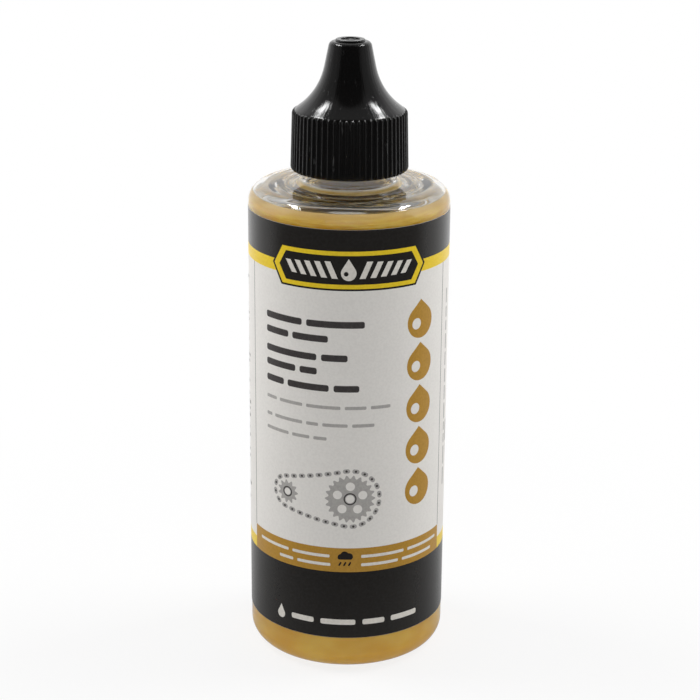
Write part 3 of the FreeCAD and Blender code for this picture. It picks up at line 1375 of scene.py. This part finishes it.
    @staticmethod
    def belt(large: Point, large_radius: float, small: Point, small_radius: float,
             pitch: float) -> list[tuple[Point, float]]:
        """Even places along a loop round two wheels on a level line.

        Args:
            large: Centre of the wheel on the right.
            large_radius: Radius of the loop round it.
            small: Centre of the wheel on the left.
            small_radius: Radius of the loop round it.
            pitch: About how far apart the places are.

        Returns:
            Each place and its angle from level.
        """
        span = large[0] - small[0]
        lean = math.acos((large_radius - small_radius) / span)
        run = math.sqrt(span ** 2 - (large_radius - small_radius) ** 2)
        top = math.pi - lean
        stretches = [2 * top * large_radius, run, 2 * lean * small_radius, run]
        count = round(sum(stretches) / pitch)
        places = []
        for index in range(count):
            left = sum(stretches) * index / count
            part = 0
            while left > stretches[part]:
                left -= stretches[part]
                part += 1
            if part in (0, 2):
                middle, radius, start = ((large, large_radius, -top), None, (small, small_radius, top))[part]
                turn = start + left / radius
                places.append((polar(middle, radius, turn), turn + math.pi / 2))
                continue
            edge = top if part == 1 else -top
            ends = [polar(large, large_radius, edge), polar(small, small_radius, edge)]
            start, end = ends if part == 1 else ends[::-1]
            share = left / run
            spot = (start[0] + (end[0] - start[0]) * share, start[1] + (end[1] - start[1]) * share)
            places.append((spot, math.atan2(end[1] - start[1], end[0] - start[0])))
        return places

    def weather_band(self) -> None:
        """Prints the pale bars and the rain cloud on the gold band."""
        for middle, left, lengths in self.weather_lines:
            self.words(Ink.PALE, 2, left, middle, thick=0.65, lengths=lengths)
        self.put(Ink.BLACK, 2, cloud((-0.3, 26.4), size=1.75))
        for offset in (-1.0, 0.0, 1.0):
            rain = link_bar((offset - 0.4, 24.85), length=1.0, width=0.36, angle=math.radians(62))
            self.put(Ink.BLACK, 2, rain)

    def measure_line(self) -> None:
        """Prints the pale bars on the dark foot band."""
        self.put(Ink.PALE, 2, drop((-15.0, 11.1), radius=1.0, height=3.2))
        self.words(Ink.PALE, 2, left=-12.2, middle=11.5, thick=1.2, lengths=(5.2, 7.4, 4.8, 6.6), gap=1.5)

    def side_panels(self) -> None:
        """Prints plain lines of bars on the sides and the back."""
        draws = random.Random(self.seed)
        for left, right in self.side_texts:
            foot, height = self.side_heights
            while height > foot:
                height -= self.line_pitch if draws.random() > self.break_chance else self.break_pitch
                start, limit = left, right
                if draws.random() <= self.short_chance:
                    limit = left + (right - left) * draws.uniform(*self.short_share)
                while True:
                    length = draws.uniform(*self.side_words)
                    if start + length > limit:
                        break
                    self.words(Ink.CHARCOAL, 1, start, height, thick=0.62, lengths=(length,))
                    start += length + self.side_gap
        foot, height = self.upright_heights
        left, right = self.upright_sides
        while height > foot:
            length = draws.uniform(*self.upright_words)
            self.put(Ink.GREY, 1, bar(left, height - length, right, height, fillet=0.25))
            height -= length + self.upright_gap
        self.put(Ink.GREY, 1, bar(left=29.1, low=45.6, right=31.7, high=50.3, fillet=0.2))

    def film(self) -> None:
        """Builds the film and dresses it."""
        arcs = [-self.lap_end, *self.column_edges(-self.lap_end, self.lap_end), self.lap_end]
        edges = [(self.inside, self.low), (self.face, self.low), (self.face, self.high),
                 (self.inside, self.high)]
        points = [self.wrapped(arc, height, radius) for arc in arcs for radius, height in edges]
        faces = []
        for index in range(len(arcs) - 1):
            here, after = 4 * index, 4 * index + 4
            for corner in range(4):
                other = (corner + 1) % 4
                faces.append([here + corner, after + corner, after + other, here + other])
        ends = range(len(points))
        faces += [list(ends[:4]), list(ends[:-5:-1])]
        piece = mesh_object("label_film", points, faces, self.sharp)
        settle(piece, Ink.FILM.value, Body.BOTTLE, "wrap_label")

    def build(self) -> None:
        """Builds the film and every ink on it."""
        self.film()
        for draw in (self.bands, self.badge, self.front_text, self.gold_column, self.drive, self.weather_band,
                     self.measure_line, self.side_panels):
            draw()
        for ink, prints in self.prints.items():
            points, faces = [], []
            for patch, level in prints:
                self.solid(patch, self.face - self.ink_lift, self.face + self.ink_lift * level, points, faces)
            piece = mesh_object(f"label_{ink.name.lower()}_ink", points, faces, self.sharp)
            settle(piece, ink.value, Body.BOTTLE)


@dataclass
class DropperPlug:
    """Dropper plug: a beaded skirt in the neck, a flange on its lip and a drilled nozzle."""

    neck_top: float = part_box("bottle")[1].z / MM
    tip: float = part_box("dropper_plug")[1].z / MM
    foot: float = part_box("dropper_plug")[0].z / MM
    flange_radius: float = 8.5
    flange: float = 1.2
    skirt: float = 6.9
    wall: float = 1.0
    bead: float = 0.18
    bead_depths: tuple[float, ...] = (2.4, 5.6)
    half_bead: float = 0.5
    edge_fillet: float = 0.25
    tip_fillet: float = 0.45
    root_fillet: float = 0.9
    nozzle_base: float = 4.5
    nozzle_tip: float = 1.6
    orifice: float = 0.65
    land: float = 2.6
    steps: int = 144

    def build(self) -> None:
        """Builds the plug and dresses it."""
        top = self.neck_top + self.flange
        corners = [
            Corner(self.orifice, self.tip),
            Corner(self.nozzle_tip, self.tip, self.tip_fillet),
            Corner(self.nozzle_base, top, self.root_fillet),
            Corner(self.flange_radius, top, self.edge_fillet),
            Corner(self.flange_radius, self.neck_top, self.edge_fillet),
            Corner(self.skirt, self.neck_top),
        ]
        for depth in self.bead_depths:
            height = self.neck_top - depth
            corners += [
                Corner(self.skirt, height),
                Corner(self.skirt + self.bead, height - self.half_bead, self.edge_fillet),
                Corner(self.skirt, height - 2 * self.half_bead),
            ]
        corners += [
            Corner(self.skirt, self.foot, self.edge_fillet),
            Corner(self.skirt - self.wall, self.foot, self.edge_fillet),
            Corner(self.skirt - self.wall, self.neck_top, self.wall),
            Corner(self.nozzle_base - self.wall, top, self.root_fillet),
            Corner(self.orifice, self.tip - self.land),
        ]
        points = rounded(corners, closed=True, bend=12.0)[::-1]
        piece = turned("nozzle_plug", [Band(points)], self.steps, closed=True)
        settle(piece, NaturalPlastic(), Body.BOTTLE, "dropper_plug")


@dataclass
class Overcap:
    """Black overcap: a ribbed skirt, a flared cone over the nozzle and a pin that stops the orifice."""

    bottom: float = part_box("screw_cap")[0].z / MM
    top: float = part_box("screw_cap")[1].z / MM
    seat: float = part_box("bottle")[1].z / MM + DropperPlug.flange
    mouth_radius: float = 12.075
    mouth_fillet: float = 0.7
    rim_radius: float = 11.75
    skirt_height: float = 12.2
    bore: float = 10.1
    land: float = 7.3
    flare_radius: float = 6.25
    flare_height: float = 16.2
    flare_fillet: float = 13.5
    crown_fillet: float = 1.2
    top_radius: float = 4.2
    edge_fillet: float = 1.1
    ring_radius: float = 3.0
    ring_width: float = 1.1
    ring_height: float = 0.4
    ring_fillet: float = 0.2
    recess: float = 0.22
    gate_radius: float = 0.8
    gate_height: float = 0.1
    wall: float = 1.4
    roof: float = 1.6
    roof_fillet: float = 0.8
    inner_flare_fillet: float = 8.0
    land_fillet: float = 0.3
    seat_fillet: float = 1.0
    mouth_chamfer: float = 0.5
    pin_radius: float = 0.425
    pin_end: float = 126.1
    ribs: int = 60
    rib_height: float = 0.34
    rib_end: float = 0.15
    rib_round: float = 0.8
    steps: int = 600
    thread: Thread = Thread(start=107.6, turns=1.5, height=0.9)
    thread_step: float = 0.4

    def with_ribs(self, radius: float, height: float, angle: float) -> Point:
        """Raises the ribs of the skirt, which end in domes under the flare.

        Args:
            radius: The radius between the ribs.
            height: The height of the point.
            angle: The angle round the axis.

        Returns:
            The radius with the ribs, and the height.
        """
        end = self.bottom + self.skirt_height + self.rib_end
        past = max((height - end) / self.rib_round + 1, 1 - (height - self.bottom) / self.mouth_fillet, 0.0)
        crest = 0.5 - 0.5 * math.cos(self.ribs * angle)
        return radius + self.rib_height * math.sqrt(max(crest ** 2 - past ** 2, 0.0)), height

    def with_thread(self, radius: float, height: float, angle: float) -> Point:
        """Adds the thread to the inside of the skirt.

        Args:
            radius: The plain radius.
            height: The height of the point.
            angle: The angle round the axis.

        Returns:
            The radius with the thread, and the height.
        """
        if abs(radius - self.bore) > NEAR:
            return radius, height
        return radius - self.thread.rise(height, angle), height

    def outside(self) -> Loop:
        """Outside of the cap, from its mouth to the middle of its top.

        Returns:
            Points of the profile.
        """
        disc = self.top - self.ring_height
        floor = self.top - self.recess
        rim = self.bottom + self.skirt_height
        side = [
            Corner(self.bore, self.bottom),
            Corner(self.mouth_radius - self.rib_height, self.bottom, self.mouth_fillet),
            Corner(self.rim_radius - self.rib_height, rim, self.crown_fillet),
            Corner(self.flare_radius, self.bottom + self.flare_height, self.flare_fillet),
            Corner(self.top_radius, disc, self.edge_fillet),
            Corner(self.ring_radius, disc),
        ]
        ring = [
            Corner(self.ring_radius, disc),
            Corner(self.ring_radius, self.top, self.ring_fillet),
            Corner(self.ring_radius - self.ring_width, self.top, self.ring_fillet),
            Corner(self.ring_radius - self.ring_width, floor),
            Corner(self.gate_radius, floor),
            Corner(self.gate_radius, floor + self.gate_height),
            Corner(0.0, floor + self.gate_height),
        ]
        return rounded(side, closed=False, bend=4.0) + rounded(ring, closed=False, bend=12.0)[1:]

    def inside(self) -> Loop:
        """Inside of the cap, from its seal pin to its mouth.

        Returns:
            Points of the profile.
        """
        disc = self.top - self.ring_height
        ceiling = disc - self.roof
        flare = [
            Corner(self.rim_radius, self.bottom + self.skirt_height),
            Corner(self.flare_radius, self.bottom + self.flare_height),
            Corner(self.top_radius, disc),
        ]
        bend, edge = inset(flare, self.wall)[1:]
        share = (ceiling - bend.height) / (edge.height - bend.height)
        corners = [
            Corner(0.0, self.pin_end),
            Corner(self.pin_radius, self.pin_end),
            Corner(self.pin_radius, ceiling),
            Corner(bend.radius + (edge.radius - bend.radius) * share, ceiling, self.roof_fillet),
            Corner(bend.radius, bend.height, self.inner_flare_fillet),
            Corner(self.land, self.seat, self.land_fillet),
            Corner(self.bore, self.seat, self.seat_fillet),
            Corner(self.bore, self.bottom + self.mouth_chamfer),
        ]
        points = rounded(corners, closed=False, bend=12.0)
        return divided(points, self.bottom, self.seat - self.seat_fillet, self.thread_step)

    def build(self) -> None:
        """Builds the cap and dresses it."""
        bands = [Band(self.outside(), self.with_ribs), Band(self.inside(), self.with_thread)]
        piece = turned("overcap", bands, self.steps, closed=True)
        settle(piece, CapPlastic(), Body.CAP, "screw_cap")


@dataclass(frozen=True)
class StudioFloor(Finish):
    """White sheet that keeps the object's shadow, and gleams less on the camera's side."""

    name: str = "finish_studio_floor"
    white: float = 0.85
    shadow_share: float = 0.18
    fade: Span = (50.0, 160.0)
    front_gleam: float = 0.07
    back_gleam: float = 0.76
    far_gleam: float = 1.12
    gleam_rise: Span = (-80.0, 60.0)
    far_rise: Span = (60.0, 280.0)

    def lay(self, graph: Graph) -> None:
        """Fills the material's node tree.

        Args:
            graph: The node tree.
        """
        place = graph.place()
        along = place.part("Y")
        glow, front, back, far = (graph.node("ShaderNodeEmission", None, {"Color": 1.0, "Strength": level})
                                  for level in (1.0, self.front_gleam, self.back_gleam, self.far_gleam))
        sheet = graph.node("ShaderNodeBsdfDiffuse", None, {"Color": self.white})
        faded = place.length().over(self.fade)
        white = graph.mix((1 - self.shadow_share) + self.shadow_share * faded, sheet, glow)
        gleam = graph.mix(along.over(self.far_rise), graph.mix(along.over(self.gleam_rise), front, back), far)
        plain = graph.mix(graph.ray("Glossy"), sheet, gleam)
        graph.surface(graph.mix(graph.ray("Camera") + graph.ray("Transmission"), plain, white))


@dataclass
class Studio:
    """Plain pale floor, soft lamps, white surroundings and the camera."""

    floor_half: float = 1500.0
    floor_height: float = -0.05
    front_glow: float = 0.04
    side_glow: float = 0.3
    back_glow: float = 1.0
    ceiling_glow: float = 0.3
    backwards: tuple[float, float, float] = (0.0, 1.0, -0.5)
    ceiling_rise: Span = (0.15, 0.6)
    side_rise: Span = (-0.78, -0.64)
    back_rise: Span = (-0.3, 0.8)
    camera_place: tuple[float, float, float] = (0.0, -393.908, 198.363)
    pitch: float = 18.7566
    yaw: float = 0.0554
    roll: float = 0.42
    lens: float = 101.63
    sensor: float = 36.0

    def floor(self) -> None:
        """Lays the floor."""
        half = self.floor_half
        corners = [(-half, -half), (half, -half), (half, half), (-half, half)]
        floor = mesh_object("floor", [(x, y, self.floor_height) for x, y in corners], [[0, 1, 2, 3]])
        floor.data.materials.append(StudioFloor().material())

    def world(self) -> None:
        """Sets the surroundings: white to look at, and dimmer towards the camera's side in reflections."""
        graph = Graph(bpy.context.scene.world)
        towards = graph.node("ShaderNodeTexCoord", output="Generated")
        facing = {0: towards, 1: self.backwards}
        back = graph.node("ShaderNodeVectorMath", {"operation": "DOT_PRODUCT"}, facing, "Value")
        white, front, beside, behind, above = (
            graph.node("ShaderNodeBackground", None, {"Color": 1.0, "Strength": level})
            for level in (1.0, self.front_glow, self.side_glow, self.back_glow, self.ceiling_glow))
        lit = graph.mix(back.between(*self.back_rise), beside, behind)
        room = graph.mix(back.between(*self.side_rise), front, lit)
        walls = graph.mix(towards.part("Z").between(*self.ceiling_rise), white, above)
        unseen = graph.mix(graph.ray("Transmission"), room, walls)
        seen = graph.mix(graph.ray("Camera"), unseen, white)
        graph.node("ShaderNodeOutputWorld", None, {"Surface": seen})

    def lamp(self, name: str, place: tuple, aim: tuple, size: tuple, power: float,
             mirrored: bool = False) -> None:
        """Hangs a soft lamp.

        Args:
            name: Its name.
            place: Where it hangs, in millimetres.
            aim: What it points at.
            size: Its width and height.
            power: Its power in watts.
            mirrored: Whether glossy surfaces show it.
        """
        light = bpy.data.lights.new(name, "AREA")
        light.shape = "RECTANGLE"
        light.size, light.size_y = (side * MM for side in size)
        light.energy = power
        lamp = bpy.data.objects.new(name, light)
        lamp.location = Vector(place) * MM
        lamp.rotation_euler = (Vector(aim) - Vector(place)).to_track_quat("-Z", "Y").to_euler()
        lamp.visible_camera = False
        lamp.visible_glossy = mirrored
        bpy.context.scene.collection.objects.link(lamp)

    def camera(self) -> None:
        """Sets the camera at the photograph's place."""
        pitch, yaw, roll = (math.radians(angle) for angle in (self.pitch, self.yaw, self.roll))
        ahead = Vector((math.sin(yaw) * math.cos(pitch), math.cos(yaw) * math.cos(pitch), -math.sin(pitch)))
        right = Vector((math.cos(yaw), -math.sin(yaw), 0.0))
        up = right.cross(ahead)
        across = math.cos(roll) * right + math.sin(roll) * up
        above = math.cos(roll) * up - math.sin(roll) * right
        lens = bpy.data.cameras.new("camera")
        lens.lens, lens.sensor_width, lens.sensor_fit = self.lens, self.sensor, "HORIZONTAL"
        lens.clip_start = 0.01
        camera = bpy.data.objects.new("camera", lens)
        turn = Matrix((across, above, -ahead)).transposed().to_4x4()
        camera.matrix_world = Matrix.Translation(Vector(self.camera_place) * MM) @ turn
        bpy.context.scene.collection.objects.link(camera)
        bpy.context.scene.camera = camera

    def build(self) -> None:
        """Sets up the studio."""
        scene = bpy.context.scene
        scene.view_settings.view_transform = "Standard"
        scene.cycles.max_bounces = 24
        scene.cycles.transmission_bounces = 20
        scene.cycles.glossy_bounces = 8
        scene.cycles.diffuse_bounces = 5
        if scene.world is None:
            scene.world = bpy.data.worlds.new("world")
        self.floor()
        self.world()
        for name, side in (("left", -1), ("right", 1)):
            self.lamp(f"strip_{name}", place=(407 * side, 115, 690), aim=(0, 0, 100), size=(240, 80),
                      power=1.8, mirrored=True)
            self.lamp(f"side_fill_{name}", place=(550 * side, 100, 350), aim=(0, 0, 70), size=(400, 400),
                      power=1.05)
        self.lamp("front_fill", place=(0, -600, 300), aim=(0, 0, 60), size=(600, 400), power=0.84)
        self.camera()


def main() -> None:
    """Builds every piece of the bottle, then the studio round it."""
    logging.basicConfig(level=logging.INFO, format="%(name)s: %(message)s")
    bottle = BottleShell()
    for assembly in (bottle, OilFill(bottle), WrapLabel(), DropperPlug(), Overcap()):
        assembly.build()
        LOG.info("%s is in place", type(assembly).__name__)
    Studio().build()


if __name__ == "__main__":
    main()
